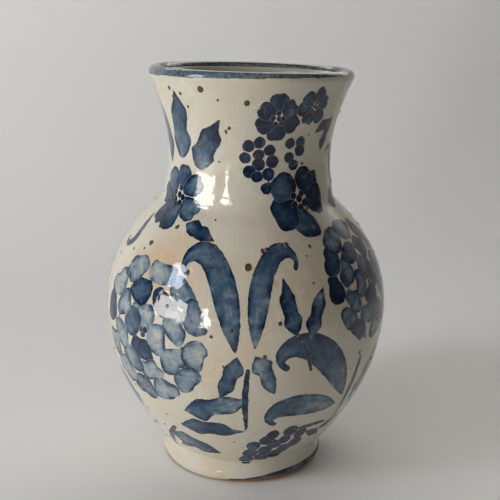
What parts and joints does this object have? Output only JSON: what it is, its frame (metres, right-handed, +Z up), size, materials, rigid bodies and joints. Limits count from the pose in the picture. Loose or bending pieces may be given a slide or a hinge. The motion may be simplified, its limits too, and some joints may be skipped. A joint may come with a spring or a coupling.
{
  "type": "pottery vase",
  "caption": "Hand-thrown glazed pottery vase with a round belly, waisted neck, flared rolled lip and turned foot ring.",
  "frame": {"origin": "centre of the foot ring's resting face, on the vase's axis", "axes": "+Z up along the axis, through the mouth; +Y away from the viewer; +X to the viewer's right"},
  "size_m": [0.1476, 0.1476, 0.2095],
  "materials": {
    "bare_clay": "matte",
    "fired_clay": "matte",
    "cream_glaze": "gloss",
    "liner_glaze": "gloss",
    "cobalt_glaze": "gloss",
    "slate_glaze": "gloss"
  },
  "bodies": {
    "root": {"foot_ring": "bare_clay", "lower_body": "fired_clay", "shoulder": "fired_clay", "neck": "fired_clay", "outer_glaze": "cream_glaze", "liner_glaze": "liner_glaze", "base_glaze": "liner_glaze", "foot_band": "cobalt_glaze", "lip_band": "slate_glaze"}
  },
  "joints": []
}
